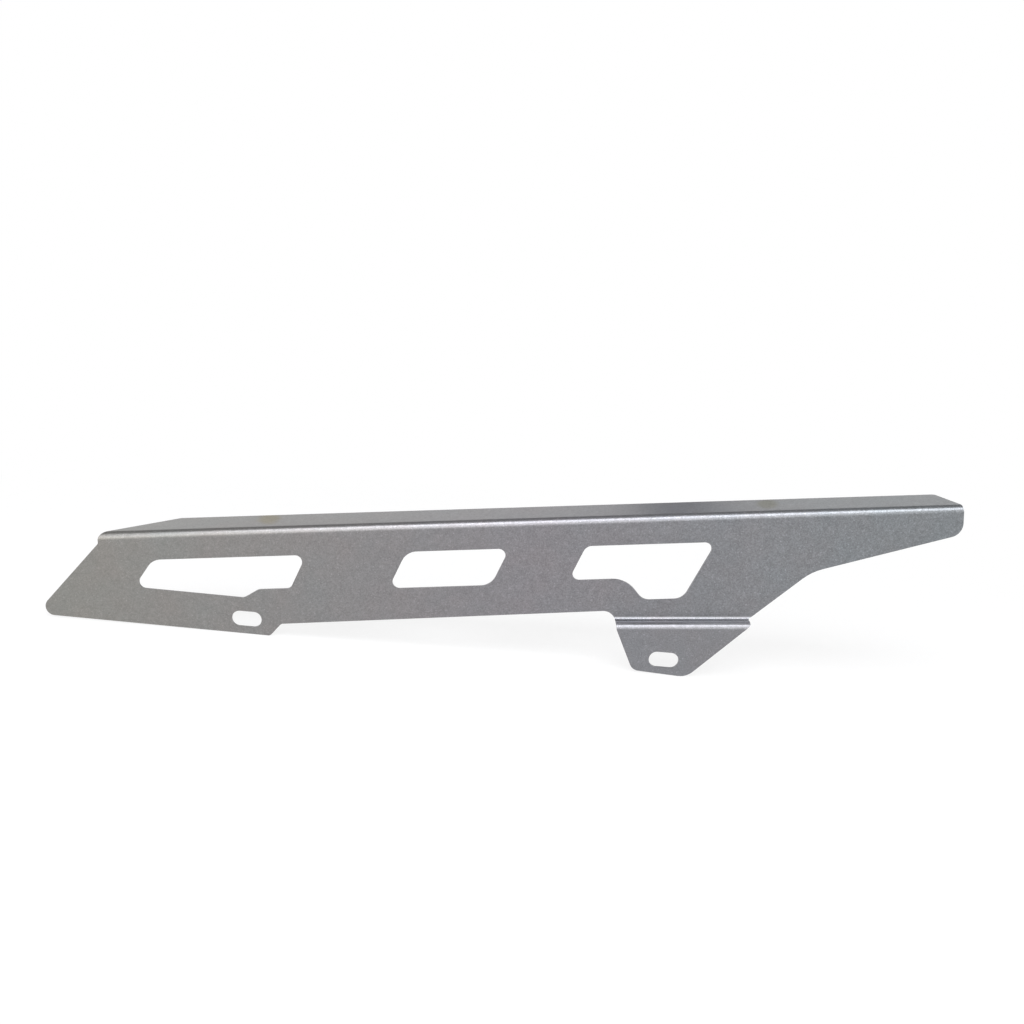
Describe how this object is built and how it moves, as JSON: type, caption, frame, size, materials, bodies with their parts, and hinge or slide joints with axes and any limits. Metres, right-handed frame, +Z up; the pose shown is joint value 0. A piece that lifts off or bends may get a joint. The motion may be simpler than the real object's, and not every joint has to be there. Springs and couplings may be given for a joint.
{
  "type": "motorcycle chain guard",
  "caption": "Long folded sheet-metal chain guard with a top flange, windows cut in its web, a stepped mounting lug and slotted fixing holes.",
  "frame": {"origin": "Halfway between the centres of the mounting slots, on the inboard face of the web.", "axes": "+X runs rearward along the line through the mounting slots, +Y points inboard, over the chain, and +Z is up. The top fold climbs rearward at 7.05 degrees above +X."},
  "size_m": [0.4212, 0.0353, 0.0915],
  "materials": {
    "silver_coat": "satin silver powder coat with fine metallic speckle"
  },
  "bodies": {
    "root": {"chain_guard": "silver_coat"}
  },
  "joints": []
}
